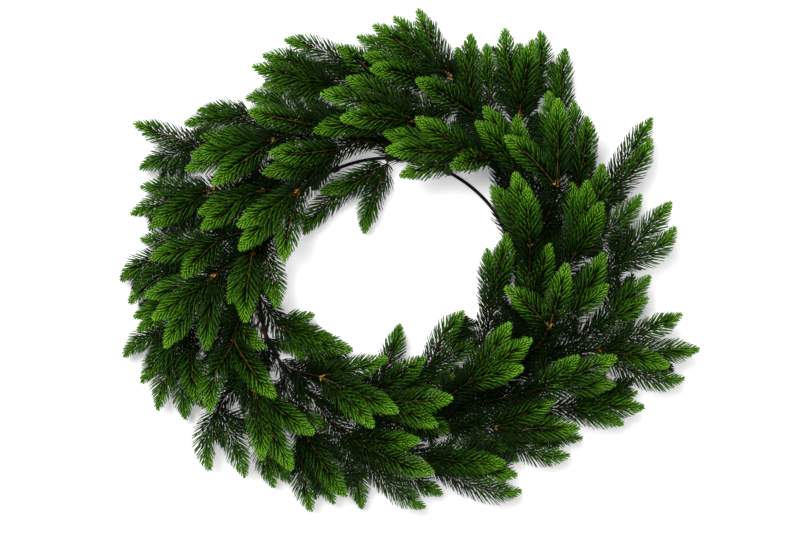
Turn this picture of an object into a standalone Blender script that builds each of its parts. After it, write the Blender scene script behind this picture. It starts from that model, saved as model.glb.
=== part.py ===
"""Spruce wreath: a black coated wire ring with moulded spruce sprays tied all round it.

The wreath lies on its back with its face up, so +Z is its front. Lengths are in metres, and the
origin is on the surface that it lies on, under the middle of its outline. Each spray is one
moulded twig: a wire tail wound round the ring, a stem, and the fingers that fork from it, with
their needles. All sprays sweep counter-clockwise round the ring, seen from the front.
"""

import math
from collections import namedtuple

import bmesh
import bpy
import numpy as np
from mathutils import Matrix

# The ring
RING_DIAMETER = 0.250
RING_WIRE_RADIUS = 0.0018
RING_HEIGHT = 0.0040
RING_FACETS = 72
RING_SIDES = 6

# The wound tail of a spray: a six-sided collar that rests on a flat side
COLLAR_HALF = 0.0040
COLLAR_LENGTH = 0.0084
RING_CLEARANCE = 0.00045
BORE_HALF = RING_WIRE_RADIUS * math.cos(math.pi / RING_SIDES) + RING_CLEARANCE
TIE_RISE = (COLLAR_HALF + BORE_HALF) / 2

# Twigs
STEM_RADIUS = 0.0017
FINGER_RADIUS = 0.0014
ROOT_RADIUS = 0.0006
SAMPLE_SPACING = 0.003
STEM_SPAN = 0.026

# Needles stand in whorls of six, each raised from a face of a short stretch of its finger
NEEDLE_LENGTH = 0.0200
NEEDLE_ROOT = 0.0010
WHORL_LENGTH = 0.0024
WHORL_SPACING = 0.0295
WHORL_TWIST = 30
FIRST_WHORL = 0.22
LAST_WHORL_FROM_TIP = 0.0160
MOST_WHORLS = 4
NEEDLE_LEAN = 50
LAST_LEAN = 34
LEAN_CHANGES = (0, 8, -8, 15, -14)
NEEDLE_TURNS = (0, 14, -14, 27, -27)
NEEDLE_SHARES = (1.0, 0.8, 0.6)
NEEDLE_GAP = 0.0005
NEEDLE_SEED = 21
LOWEST_NEEDLE = 0.0012

# How far twigs of different sprays keep apart where one passes over another
TWIG_APART = 0.0050
TWIG_NEAR = 0.0050
LOWEST_TWIG = 0.012
OVER_RING = 0.0122
TAIL_LENGTH = 0.024
FREE_FROM = 0.012
HEIGHT_ROUNDS = 300
SIDEWAYS_ROUNDS = 120
SPREAD_SAMPLES = 5
SPREAD_KERNEL = np.convolve(np.ones(SPREAD_SAMPLES), np.ones(SPREAD_SAMPLES)) / SPREAD_SAMPLES**2

# The picture, in its pixels: the ring's centre line, the middle of the view, and the place that
# the origin lies under. A pixel's real size follows from the ring.
PICTURE_RING_CENTRE = (389.0, 289.0)
PICTURE_RING_DIAMETER = 262.0
PICTURE_MIDDLE = (400.0, 266.5)
PICTURE_ORIGIN = (404.8, 262.5)
PIXEL = RING_DIAMETER / PICTURE_RING_DIAMETER
VIEW_HEIGHT = 1.5

# Heights of the layers that the fingers lie in
LAYERS = {"L": 0.018, "L+": 0.028, "M-": 0.036, "M": 0.045, "M+": 0.054, "T-": 0.064, "T": 0.075}
FORK_SHARE = 0.80
FORK_STAGGER = 1

# Each spray: the angle of its tie on the ring in degrees, the points that its stem runs through
# up to its fork, and its fingertips, all as pixels of the picture. A fingertip has its layer, then
# the share of the stem at which its finger leaves it, or 0 for one that starts at the fork, and
# last, for a bent finger, a point that it runs through.
Spray = namedtuple("Spray", "tie stem fingers")
SPRAYS = (
    Spray(114, [(310, 137), (271, 140)], [(186, 170, "M"), (192, 156, "M+"), (201, 137, "M"),
                                          (213, 184, "T")]),
    Spray(120, [(252, 117)], [(185, 124, "L+"), (198, 111, "L", 0, 226, 112)]),
    Spray(126, [(200, 146)], [(134, 123, "M"), (140, 169, "L")]),
    Spray(132, [(262, 190)], [(202, 229, "M+"), (199, 213, "M"), (216, 243, "L")]),
    Spray(138, [(211, 190)], [(131, 214, "M-"), (152, 227, "M"), (141, 187, "L")]),
    Spray(144, [(215, 240)], [(184, 277, "T"), (150, 258, "M"), (141, 239, "L")]),
    Spray(150, [(252, 255)], [(245, 322, "T"), (229, 303, "M"), (277, 307, "M+", 0.5, 272, 274)]),
    Spray(156, [(212, 277)], [(153, 319, "T"), (165, 347, "T"), (207, 350, "M"), (146, 296, "M+")]),
    Spray(162, [(187, 257)], [(121, 281, "L", 0, 150, 261), (129, 303, "L+")]),
    Spray(168, [(240, 318), (233, 342)], [(210, 413, "T", 0, 217, 370), (275, 397, "T"),
                                          (264, 348, "M", 0.75), (240, 392, "L")]),
    Spray(174, [(185, 298)], [(134, 317, "M-"), (138, 331, "M-")]),
    Spray(180, [(264, 303), (286, 331)], [(352, 350, "M-"), (334, 338, "L+"), (314, 314, "L"),
                                          (345, 367, "L"), (304, 362, "L")]),
    Spray(186, [(186, 327)], [(124, 357, "L", 0, 148, 337), (142, 383, "L+"), (158, 410, "L+")]),
    Spray(192, [(190, 348)], [(199, 402, "M"), (186, 419, "L")]),
    Spray(198, [(255, 393)], [(292, 470, "T"), (262, 460, "T"), (314, 433, "T")]),
    Spray(204, [(218, 408)], [(210, 470, "M-", 0, 206, 438), (245, 477, "M-", 0, 234, 443)]),
    Spray(210, [(323, 378)], [(398, 412, "T"), (373, 427, "T"), (387, 358, "M")]),
    Spray(216, [(262, 440)], [(274, 487, "L"), (290, 482, "L")]),
    Spray(222, [(303, 432)], [(346, 496, "M+"), (312, 511, "L+", 0, 302, 470), (334, 503, "L"),
                              (328, 428, "L", 0.6)]),
    Spray(228, [(378, 390)], [(425, 357, "M"), (400, 324, "L"), (454, 377, "L")]),
    Spray(234, [(350, 442)], [(419, 440, "M+"), (433, 472, "T"), (442, 494, "L"),
                              (425, 507, "L+", 0, 390, 484), (362, 508, "L")]),
    Spray(240, [(383, 402)], [(452, 398, "T"), (437, 426, "T-"), (450, 432, "L")]),
    Spray(246, [(429, 371)], [(464, 312, "M-", 0, 444, 336), (479, 341, "L")]),
    Spray(252, [(428, 459)], [(505, 463, "M+"), (517, 475, "M"), (521, 491, "L+", 0, 476, 486),
                              (486, 446, "L")]),
    Spray(264, [(498, 428)], [(579, 428, "M+"), (555, 398, "M"), (582, 438, "L"),
                              (569, 455, "L+", 0, 528, 450), (518, 461, "L", 0.6)]),
    Spray(270, [(471, 381)], [(510, 323, "T-"), (531, 339, "T"), (523, 368, "T")]),
    Spray(282, [(570, 408)], [(637, 392, "L"), (644, 407, "M-"), (623, 424, "L+")]),
    Spray(288, [(543, 388)], [(578, 356, "T-"), (616, 357, "T"), (615, 384, "M")]),
    Spray(294, [(491, 314)], [(487, 249, "L+"), (508, 233, "M")]),
    Spray(300, [(602, 349)], [(682, 314, "M"), (699, 349, "M-", 0, 655, 351), (669, 366, "M+"),
                              (684, 378, "L+", 0, 645, 376)]),
    Spray(306, [(588, 335)], [(650, 276, "M-"), (648, 298, "M-")]),
    Spray(312, [(550, 325)], [(567, 264, "T"), (505, 288, "T")]),
    Spray(318, [(570, 318)], [(604, 253, "M+"), (608, 285, "M+")]),
    Spray(324, [(533, 300)], [(550, 244, "M"), (520, 262, "M-")]),
    Spray(330, [(612, 266)], [(671, 202, "M", 0, 640, 238), (675, 227, "M", 0, 650, 253)]),
    Spray(336, [(530, 243)], [(515, 173, "T"), (527, 188, "T"), (491, 186, "M")]),
    Spray(342, [(598, 207)], [(652, 118, "M-", 0, 628, 156), (651, 139, "M", 0, 631, 172),
                              (602, 164, "M")]),
    Spray(347, [(578, 250)], [(571, 183, "M"), (587, 181, "M+"), (602, 203, "T-"),
                              (641, 195, "M-", 0, 615, 224)]),
    Spray(352, [(560, 225), (578, 185)], [(587, 117, "M+", 0, 585, 148), (573, 101, "L+"),
                                          (594, 154, "L")]),
    Spray(357, [(562, 112)], [(566, 49, "L+", 0, 561, 85), (551, 62, "L")]),
    Spray(2, [(557, 181)], [(558, 99, "T"), (505, 137, "T"), (548, 92, "M")]),
    Spray(7.5, [(532, 190), (519, 113)], [(505, 29, "T-", 0, 509, 65), (533, 40, "T-"),
                                          (540, 31, "M-", 0, 538, 68), (520, 44, "L")]),
    Spray(13, [(520, 168)], [(484, 107, "M"), (476, 122, "M+"), (518, 115, "M")]),
    Spray(18.5, [(512, 188), (492, 138), (474, 112)], [(417, 80, "T"), (471, 34, "M-"), (457, 48, "L"),
                                                       (487, 44, "M-", 0.74)]),
    Spray(24, [(500, 166), (474, 153)], [(386, 150, "T"), (400, 176, "M+"), (416, 118, "T"),
                                         (384, 133, "M+"), (452, 167, "T", 0.8)]),
    Spray(63.4, [(472, 105), (449, 75)], [(373, 25, "M+"), (394, 17, "M"), (418, 9, "M")]),
    Spray(67.8, [(433, 82)], [(371, 69, "T"), (364, 55, "M"), (357, 37, "M-"), (390, 92, "L", 0.6)]),
    Spray(72.2, [(412, 119)], [(321, 94, "T", 0, 366, 103), (341, 119, "T"), (346, 79, "M", 0, 380, 94),
                               (314, 131, "M")]),
    Spray(76.6, [(378, 80), (330, 84)], [(337, 47, "M", 0.55, 362, 63), (285, 40, "M-", 0.7, 322, 51),
                                         (253, 66, "M+"), (263, 85, "M-"), (263, 56, "M", 0, 292, 62),
                                         (288, 99, "L")]),
    Spray(81.0, [(361, 126), (310, 124)], [(249, 111, "T"), (246, 99, "L+", 0, 275, 100)]),
    Spray(85.4, [(385, 138), (340, 149), (296, 192)], [(238, 226, "T"), (240, 250, "T"), (284, 262, "T"),
                                                     (270, 153, "T", 0.55), (263, 173, "M", 0.6)]),
    Spray(90, [(387, 168)], [(364, 233, "L", 0, 372, 200), (321, 191, "L+", 0, 352, 181),
                             (304, 234, "L", 0, 338, 194)]),
)

# Colours of the finishes
BLACK_COATING = (0.012, 0.012, 0.013)
SPRUCE_GREEN = (0.055, 0.19, 0.03)


def place(pixel_x, pixel_y, height):
    """The point at a height that the picture shows at a pixel: higher up, it is nearer the view's axis."""
    nearer = 1 - (height - RING_HEIGHT) / VIEW_HEIGHT
    x = PICTURE_MIDDLE[0] - PICTURE_ORIGIN[0] + (pixel_x - PICTURE_MIDDLE[0]) * nearer
    y = PICTURE_ORIGIN[1] - PICTURE_MIDDLE[1] + (PICTURE_MIDDLE[1] - pixel_y) * nearer
    return np.array([x * PIXEL, y * PIXEL, height])


RING_CENTRE = place(*PICTURE_RING_CENTRE, RING_HEIGHT)


def ring_point(degrees):
    """The point of the ring's centre line at an angle."""
    angle = math.radians(degrees)
    return RING_CENTRE + RING_DIAMETER / 2 * np.array([math.cos(angle), math.sin(angle), 0.0])


def ring_heading(degrees):
    """The ring's direction at an angle, counter-clockwise."""
    angle = math.radians(degrees)
    return np.array([-math.sin(angle), math.cos(angle), 0.0])


def unit(vector):
    """The vector at length 1."""
    return vector / np.linalg.norm(vector)


def curve_through(points, first_heading, last_heading):
    """Evenly spaced points on a smooth curve through the given ones.

    Each span is a cubic that leaves and arrives along the headings at its ends, at a speed of the
    span's own length; inside, a point's heading is that of the chord between its neighbours.
    """
    points = np.asarray(points, dtype=float)
    headings = np.empty_like(points)
    headings[1:-1] = points[2:] - points[:-2]
    headings[0], headings[-1] = first_heading, last_heading
    headings /= np.linalg.norm(headings, axis=1)[:, None]
    t = np.linspace(0, 1, 24, endpoint=False)[:, None]
    spans = []
    for start, end, leave, arrive in zip(points, points[1:], headings, headings[1:]):
        length = np.linalg.norm(end - start)
        spans.append((2 * t**3 - 3 * t**2 + 1) * start + (t**3 - 2 * t**2 + t) * length * leave
                     + (3 * t**2 - 2 * t**3) * end + (t**3 - t**2) * length * arrive)
    dense = np.vstack(spans + [points[-1:]])
    run = np.concatenate(([0.0], np.cumsum(np.linalg.norm(np.diff(dense, axis=0), axis=1))))
    even = np.linspace(0, run[-1], max(4, round(run[-1] / SAMPLE_SPACING)) + 1)
    return np.stack([np.interp(even, run, dense[:, axis]) for axis in range(3)], axis=1)


def finger_curve(root, along, finger, bend):
    """A finger's points: it leaves bent towards its stem's heading, and curves on to its tip."""
    tip = place(finger[0], finger[1], LAYERS[finger[2]])
    points = [root, tip]
    if len(finger) > 4:
        points.insert(1, place(finger[4], finger[5], (root[2] + tip[2]) / 2))
    first, last = unit(points[1] - root), unit(tip - points[-2])
    arrive = 2 * last - first if len(finger) > 4 else last - 0.25 * along
    return curve_through(points, bend * along + first, arrive)


def lay_out_spray(spray):
    """The stem's points from its tie to its fork, and each finger's root on the stem and its points.

    The finger that the stem points at best, the first of the list, goes on from the stem's end. The
    others leave the stem one after the other before it.
    """
    tips = [place(x, y, LAYERS[layer]) for x, y, layer, *_ in spray.fingers]
    fork_height = max(FORK_SHARE * np.mean([tip[2] for tip in tips]), LOWEST_TWIG)
    tie = ring_point(spray.tie) + np.array([0, 0, TIE_RISE])
    share = np.linspace(0, 1, len(spray.stem) + 1)[1:]
    heights = tie[2] + (fork_height - tie[2]) * share
    points = [tie] + [place(x, y, height) for (x, y), height in zip(spray.stem, heights)]
    leave = ring_heading(spray.tie) + np.array([0, 0, 0.35])
    arrive = unit(points[-1] - points[-2]) + unit(np.mean(tips, axis=0) - points[-1])
    stem = curve_through(points, leave, arrive)
    last = len(stem) - 1
    heading = unit(stem[last] - stem[last - 1])
    early = [len(finger) > 3 and finger[3] > 0 for finger in spray.fingers]
    order = sorted(range(len(tips)), key=lambda k: (early[k], -unit(tips[k] - stem[last]) @ heading))
    fingers = []
    for turn, k in enumerate(order):
        root = round(spray.fingers[k][3] * last) if early[k] else last - FORK_STAGGER * turn
        along = unit(stem[root] - stem[root - 1])
        bend = 0.25 if turn else 1.0
        fingers.append((root, finger_curve(stem[root], along, spray.fingers[k], bend)))
    return stem, fingers


class Layout:
    """All twigs as one list of points, with the lines of point numbers that run from tie to tip."""

    def __init__(self, sprays):
        self.points, self.spray_of, self.branch_of, self.run_of = [], [], [], []
        self.stems, self.fingers = [], []
        self.branches = 0
        for number, spray in enumerate(sprays):
            stem, fingers = lay_out_spray(spray)
            run = np.concatenate(([0.0], np.cumsum(np.linalg.norm(np.diff(stem, axis=0), axis=1))))
            stem_ids = self.add(stem, number, run)
            self.stems.append(stem_ids)
            rows = []
            for root, points in fingers:
                ids = self.add(points[1:], number, run[root] + np.arange(1, len(points)) * SAMPLE_SPACING)
                rows.append((root, np.concatenate((stem_ids[root:root + 1], ids))))
            self.fingers.append(rows)
        self.points = np.vstack(self.points)
        self.spray_of = np.concatenate(self.spray_of)
        self.branch_of = np.concatenate(self.branch_of)
        self.run_of = np.concatenate(self.run_of)
        self.lines = [np.concatenate((stem[:root], ids))
                      for stem, rows in zip(self.stems, self.fingers) for root, ids in rows]
        self.part_in_height()
        self.part_all_ways()

    def add(self, points, number, run):
        """Append a branch's points and return their numbers."""
        first = sum(len(group) for group in self.points)
        self.points.append(points)
        self.spray_of.append(np.full(len(points), number))
        self.branch_of.append(np.full(len(points), self.branches))
        self.run_of.append(run)
        self.branches += 1
        return np.arange(first, first + len(points))

    def near_pairs(self, near):
        """Pairs of points of different sprays that are this near each other in plan."""
        first, second = [], []
        for number in range(len(self.stems)):
            mine = np.flatnonzero(self.spray_of == number)
            later = np.flatnonzero(self.spray_of > number)
            gap = np.hypot(self.points[mine, 0][:, None] - self.points[later, 0],
                           self.points[mine, 1][:, None] - self.points[later, 1])
            a, b = np.nonzero(gap < near)
            first.append(mine[a])
            second.append(later[b])
        return np.concatenate(first), np.concatenate(second)

    def lowest(self):
        """The lowest that each point may lie: clear of the surface, and of the ring and its collars."""
        reach = np.hypot(self.points[:, 0] - RING_CENTRE[0], self.points[:, 1] - RING_CENTRE[1])
        over_ring = np.abs(reach - RING_DIAMETER / 2) < COLLAR_HALF + STEM_RADIUS + 0.0015
        lowest = np.where(over_ring, OVER_RING, LOWEST_TWIG)
        return np.where(self.run_of < COLLAR_LENGTH, RING_HEIGHT + TIE_RISE, lowest)

    def spread(self, move):
        """A move of some points shared with their neighbours along each twig, and held at its tie."""
        total, shares = np.zeros_like(move), np.zeros(len(move))
        for line in self.lines:
            padded = np.pad(move[line], SPREAD_SAMPLES - 1, mode="edge")
            total[line] += np.convolve(padded, SPREAD_KERNEL, mode="valid")
            shares[line] += 1
        return np.clip(self.run_of / FREE_FROM, 0, 1) * total / shares

    def shared_push(self, first, second, push):
        """The mean push that each point gets: one way on the first of each pair, back on the second."""
        size = len(self.points)
        pushed = push != 0
        count = np.bincount(first[pushed], minlength=size) + np.bincount(second[pushed], minlength=size)
        move = np.bincount(first, weights=push, minlength=size)
        move -= np.bincount(second, weights=push, minlength=size)
        return move / np.maximum(count, 1)

    def part_in_height(self):
        """Part the twigs in height where one spray's pass over another's.

        Two branches keep the order that they start in, and near a tie the one that comes from
        further back passes over. Each point that is too close takes half of what is missing.
        """
        first, second = self.near_pairs(TWIG_NEAR)
        heights = self.points[:, 2]
        pair = self.branch_of[first] * self.branches + self.branch_of[second]
        _, pair = np.unique(pair, return_inverse=True)
        near_tie = np.minimum(self.run_of[first], self.run_of[second]) < TAIL_LENGTH
        ahead = np.bincount(pair, weights=near_tie * (self.run_of[first] - self.run_of[second]))
        above = np.bincount(pair, weights=heights[first] - heights[second])
        above = np.sign(np.where(ahead == 0, above, ahead))
        above = np.where(above == 0, 1.0, above)[pair]
        lowest = self.lowest()
        for _ in range(HEIGHT_ROUNDS):
            missing = np.clip(TWIG_APART - above * (heights[first] - heights[second]), 0, None)
            move = self.shared_push(first, second, 0.5 * above * missing)
            heights += self.spread(move + np.clip(lowest - heights - move, 0, None))

    def part_all_ways(self):
        """Push twigs that are still too close straight away from each other."""
        for turn in range(SIDEWAYS_ROUNDS):
            if turn % 10 == 0:
                first, second = self.near_pairs(TWIG_NEAR + 0.002)
                lowest = self.lowest()
            apart = self.points[first] - self.points[second]
            gap = np.linalg.norm(apart, axis=1)
            missing = np.clip(TWIG_APART - gap, 0, None) / gap
            for axis in range(3):
                move = self.shared_push(first, second, 0.5 * missing * apart[:, axis])
                if axis == 2:
                    move += np.clip(lowest - self.points[:, 2] - move, 0, None)
                self.points[:, axis] += self.spread(move)

    def stem_line(self, number):
        """The few points that a stem is built through: one just past its tie, even spans, and its forks."""
        ids = self.stems[number]
        rise = round(FREE_FROM / SAMPLE_SPACING)
        spans = max(2, round((len(ids) - rise) * SAMPLE_SPACING / STEM_SPAN))
        even = np.linspace(rise, len(ids) - 1, spans + 1).round().astype(int)
        roots = [root for root, _ in self.fingers[number]]
        return self.points[ids[np.unique(np.concatenate(([0], even, roots)))]]

    def finger_line(self, ids):
        """The points that a finger is built through: its root, both ends of each whorl, and its tip."""
        points = self.points[ids]
        run = np.concatenate(([0.0], np.cumsum(np.linalg.norm(np.diff(points, axis=0), axis=1))))
        whorls = min(max(round(run[-1] / WHORL_SPACING), 2), MOST_WHORLS)
        middles = np.linspace(FIRST_WHORL * run[-1], run[-1] - LAST_WHORL_FROM_TIP, whorls)
        ends = np.stack((middles - WHORL_LENGTH / 2, middles + WHORL_LENGTH / 2), axis=1).ravel()
        stations = np.concatenate(([0.0], ends, run[-1:]))
        return np.stack([np.interp(stations, run, points[:, axis]) for axis in range(3)], axis=1)


def segment_gaps(start, end, starts, ends):
    """The least distances from one segment to each of many, and the share along each where they are.

    The two nearest points of the segments' lines are clamped to the segments, one after the other.
    """
    one, many, apart = end - start, ends - starts, start - starts
    length, lengths = one @ one, np.einsum("ij,ij->i", many, many)
    lead, cross = apart @ one, many @ one
    reach = np.einsum("ij,ij->i", many, apart)
    spread = np.maximum(length * lengths - cross**2, 1e-18)
    s = np.clip((cross * reach - lead * lengths) / spread, 0, 1)
    t = np.clip((cross * s + reach) / lengths, 0, 1)
    s = np.clip((cross * t - lead) / length, 0, 1)
    return np.linalg.norm(apart + s[:, None] * one - t[:, None] * many, axis=1), s, t


class Space:
    """The segments that are taken, each with the radius at its two ends and the branch it is of."""

    def __init__(self, size=8000):
        self.starts, self.ends = np.zeros((size, 3)), np.zeros((size, 3))
        self.radii, self.owners = np.zeros((size, 2)), np.full(size, -1)
        self.count = 0

    def take(self, points, radius, end_radius, owner):
        """Enter a line of segments."""
        for start, end in zip(points, points[1:]):
            self.starts[self.count], self.ends[self.count] = start, end
            self.radii[self.count], self.owners[self.count] = (radius, end_radius), owner
            self.count += 1

    def clear(self, start, end, owners):
        """Whether a needle is clear of all but the branches that it grows among."""
        used = slice(0, self.count)
        gaps, s, t = segment_gaps(start, end, self.starts[used], self.ends[used])
        radii = self.radii[used]
        filled = NEEDLE_ROOT * (1 - s) + radii[:, 0] * (1 - t) + radii[:, 1] * t
        return np.all((gaps - filled > NEEDLE_GAP) | np.isin(self.owners[used], owners))


def branch_number(spray, order=-1):
    """The number that marks a stem, or with an order, one of its fingers."""
    return 100 * spray + 1 + order


def fill_space(layout):
    """The space that the ring, the stems and the fingers take."""
    space = Space()
    angles = np.linspace(0, 360, RING_FACETS + 1)
    collar = COLLAR_HALF / math.cos(math.pi / 6)
    space.take([ring_point(angle) for angle in angles], collar, collar, -2)
    for number, rows in enumerate(layout.fingers):
        space.take(layout.stem_line(number), STEM_RADIUS, STEM_RADIUS, branch_number(number))
        for order, (_, ids) in enumerate(rows):
            line = layout.finger_line(ids)
            space.take(line, FINGER_RADIUS, FINGER_RADIUS, branch_number(number, order))
    return space


def find_needle(space, root, along, outward, lean, owners):
    """The tip of the first clear needle from a root, or None.

    It leans forward along the finger. One that would touch anything else is turned, leans further
    or less, or is shorter.
    """
    across = np.cross(along, outward)
    for share in NEEDLE_SHARES:
        for change in LEAN_CHANGES:
            for turn in NEEDLE_TURNS:
                angle, tilt = math.radians(turn), math.radians(lean + change)
                away = math.cos(angle) * outward + math.sin(angle) * across
                tip = root + share * NEEDLE_LENGTH * (math.cos(tilt) * along + math.sin(tilt) * away)
                if tip[2] > LOWEST_NEEDLE and space.clear(root, tip, owners):
                    return tip
    return None


def finish(name, colour, roughness, metallic):
    """A named Principled material."""
    material = bpy.data.materials.new(name)
    material.use_nodes = True
    shader = material.node_tree.nodes["Principled BSDF"]
    shader.inputs["Base Color"].default_value = (*colour, 1.0)
    shader.inputs["Roughness"].default_value = roughness
    shader.inputs["Metallic"].default_value = metallic
    return material


def mesh_object(name, mesh, collection):
    """A new object of a mesh, in a collection."""
    piece = bpy.data.objects.new(name, mesh)
    collection.objects.link(piece)
    return piece


def twig_mesh(points, radii, twists, section, collection):
    """A curve with a three-sided section along a line of points, as a closed bmesh of triangles."""
    curve = bpy.data.curves.new("twig", "CURVE")
    curve.dimensions = "3D"
    curve.bevel_mode = "OBJECT"
    curve.bevel_object = section
    curve.use_fill_caps = True
    spline = curve.splines.new("POLY")
    spline.points.add(len(points) - 1)
    for point, position, radius, twist in zip(spline.points, points, radii, twists):
        point.co = (*position, 1.0)
        point.radius = radius
        point.tilt = math.radians(twist)
    guide = bpy.data.objects.new("twig", curve)
    collection.objects.link(guide)
    evaluated = guide.evaluated_get(bpy.context.evaluated_depsgraph_get())
    mesh = bpy.data.meshes.new_from_object(evaluated)
    bpy.data.objects.remove(guide)
    bpy.data.curves.remove(curve)
    bm = bmesh.new()
    bm.from_mesh(mesh)
    bpy.data.meshes.remove(mesh)
    bmesh.ops.remove_doubles(bm, verts=bm.verts, dist=1e-6)
    bmesh.ops.recalc_face_normals(bm, faces=bm.faces)
    bmesh.ops.triangulate(bm, faces=bm.faces)
    return bm


def mesh_of(name, bm, collection):
    """A new object of a bmesh, which is freed."""
    mesh = bpy.data.meshes.new(name)
    bm.to_mesh(mesh)
    bm.free()
    return mesh_object(name, mesh, collection)


def raise_needles(bm, line, space, owners, draws):
    """Raise a needle from each face of the whorls: poke the face and pull its middle out to a tip."""
    whorls = [(line[k] + line[k + 1]) / 2 for k in range(1, len(line) - 1, 2)]
    for number, middle in enumerate(whorls):
        along = unit(line[2 * number + 2] - line[2 * number + 1])
        lean = LAST_LEAN if number == len(whorls) - 1 else NEEDLE_LEAN
        faces = [face for face in bm.faces
                 if abs((np.array(face.calc_center_median()) - middle) @ along) < WHORL_LENGTH / 3
                 and np.linalg.norm(np.array(face.calc_center_median()) - middle) < 2 * FINGER_RADIUS
                 and face.calc_area() < WHORL_LENGTH**2]
        for face in faces:
            root = np.array(face.calc_center_median())
            outward = root - middle
            outward = unit(outward - (outward @ along) * along)
            tip = find_needle(space, root, along, outward, lean + draws.uniform(-5, 5), owners)
            if tip is not None:
                space.take([root, tip], NEEDLE_ROOT, 0.0, owners[-1])
                bmesh.ops.poke(bm, faces=[face])["verts"][0].co = tip


def section_guide(collection):
    """The three-sided section of a twig, one metre in radius: the curves' own radii bring it to size."""
    curve = bpy.data.curves.new("twig_section", "CURVE")
    curve.dimensions = "2D"
    spline = curve.splines.new("POLY")
    spline.points.add(2)
    for number, point in enumerate(spline.points):
        angle = 2 * math.pi * number / 3
        point.co = (math.cos(angle), math.sin(angle), 0.0, 1.0)
    spline.use_cyclic_u = True
    guide = bpy.data.objects.new("twig_section", curve)
    guide.hide_render = True
    guide.display_type = "WIRE"
    collection.objects.link(guide)
    return guide


def six_sided(name, degrees, half, length, collection):
    """A six-sided prism along the ring at an angle, half its width across flats, with a flat below."""
    bm = bmesh.new()
    bmesh.ops.create_cone(bm, cap_ends=True, segments=6, radius1=half / math.cos(math.pi / 6),
                          radius2=half / math.cos(math.pi / 6), depth=length)
    upright = Matrix.Rotation(math.pi / 2, 4, "Y")
    turned = Matrix.Rotation(math.radians(degrees) + math.pi / 2, 4, "Z")
    bm.transform(Matrix.Translation(ring_point(degrees)) @ turned @ upright)
    return mesh_of(name, bm, collection)


def apply_modifiers(piece):
    """Replace an object's mesh by the one that its modifiers make."""
    evaluated = piece.evaluated_get(bpy.context.evaluated_depsgraph_get())
    made = bpy.data.meshes.new_from_object(evaluated)
    made.name = piece.name
    piece.modifiers.clear()
    piece.data = made


def join(piece, collection):
    """One Boolean union of a piece with everything in a collection."""
    union = piece.modifiers.new("join", "BOOLEAN")
    union.operation = "UNION"
    union.operand_type = "COLLECTION"
    union.collection = collection
    union.solver = "EXACT"
    apply_modifiers(piece)


def bore(piece, cutter):
    """Cut the passage of the ring's wire through a collar."""
    cut = piece.modifiers.new("bore", "BOOLEAN")
    cut.operation = "DIFFERENCE"
    cut.object = cutter
    cut.solver = "EXACT"
    apply_modifiers(piece)


def empty(collection):
    """Remove all of a collection's objects."""
    for piece in list(collection.objects):
        bpy.data.objects.remove(piece)


def make_ring(collection):
    """The coated wire ring."""
    bpy.ops.mesh.primitive_torus_add(major_segments=RING_FACETS, minor_segments=RING_SIDES,
                                     major_radius=RING_DIAMETER / 2, minor_radius=RING_WIRE_RADIUS,
                                     location=RING_CENTRE)
    ring = bpy.context.active_object
    ring.name = "ring"
    for owner in list(ring.users_collection):
        owner.objects.unlink(ring)
    collection.objects.link(ring)
    ring.data.shade_smooth()
    ring.data.materials.append(finish("ring_coating", BLACK_COATING, 0.45, 0.0))


def make_twig(line, finger_line, radii, space, owners, draws, section, pieces):
    """A twig along a line, with needles on the whorls of its finger's line."""
    first_whorl = len(line) - len(finger_line) + 1
    twists = [WHORL_TWIST * (max(k - first_whorl, 0) // 2) for k in range(len(line))]
    twig = twig_mesh(line, radii, twists, section, pieces)
    raise_needles(twig, finger_line, space, owners, draws)
    mesh_of("twig", twig, pieces)


def make_spray(number, layout, space, draws, wreath, pieces, section):
    """One spray: its collar, its stem with the first finger in one twig, and its other fingers, fused."""
    name = f"spray_{number + 1:02d}"
    tie = SPRAYS[number].tie
    collar = six_sided(name, tie, COLLAR_HALF, COLLAR_LENGTH, wreath)
    stem = layout.stem_line(number)
    for order, (root, ids) in enumerate(layout.fingers[number]):
        finger = layout.finger_line(ids)
        owners = (branch_number(number), branch_number(number, order))
        if order:
            line = finger
            radii = [ROOT_RADIUS] + [FINGER_RADIUS] * (len(finger) - 2) + [0.0]
        else:
            line = np.vstack((stem, finger[1:]))
            radii = [ROOT_RADIUS] + [STEM_RADIUS] * (len(stem) - 1)
            radii += [FINGER_RADIUS] * (len(finger) - 2) + [0.0]
        make_twig(line, finger, radii, space, owners, draws, section, pieces)
    join(collar, pieces)
    empty(pieces)
    bore(collar, six_sided("bore", tie, BORE_HALF, 3 * COLLAR_LENGTH, pieces))
    empty(pieces)
    collar.data.materials.clear()
    collar.data.materials.append(finish(f"{name}_green", SPRUCE_GREEN, 0.6, 0.0))


def main():
    for piece in list(bpy.data.objects):
        bpy.data.objects.remove(piece)
    wreath = bpy.data.collections.new("spruce_wreath")
    pieces = bpy.data.collections.new("pieces")
    guides = bpy.data.collections.new("guides")
    for collection in (wreath, pieces, guides):
        bpy.context.scene.collection.children.link(collection)
    section = section_guide(guides)
    layout = Layout(SPRAYS)
    space = fill_space(layout)
    draws = np.random.default_rng(NEEDLE_SEED)
    make_ring(wreath)
    for number in range(len(SPRAYS)):
        make_spray(number, layout, space, draws, wreath, pieces, section)
    empty(guides)


main()
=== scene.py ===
"""The looks of a spruce wreath: fine needles, knobbly twigs, wound tails and a round ring wire.

The twigs are laid out again by the rules that the solids follow, so each fine spray grows along the
same lines as the plain one that it replaces. Lengths are in metres, and +Z is the wreath's front.
"""

import itertools
import math
from collections import namedtuple

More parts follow.
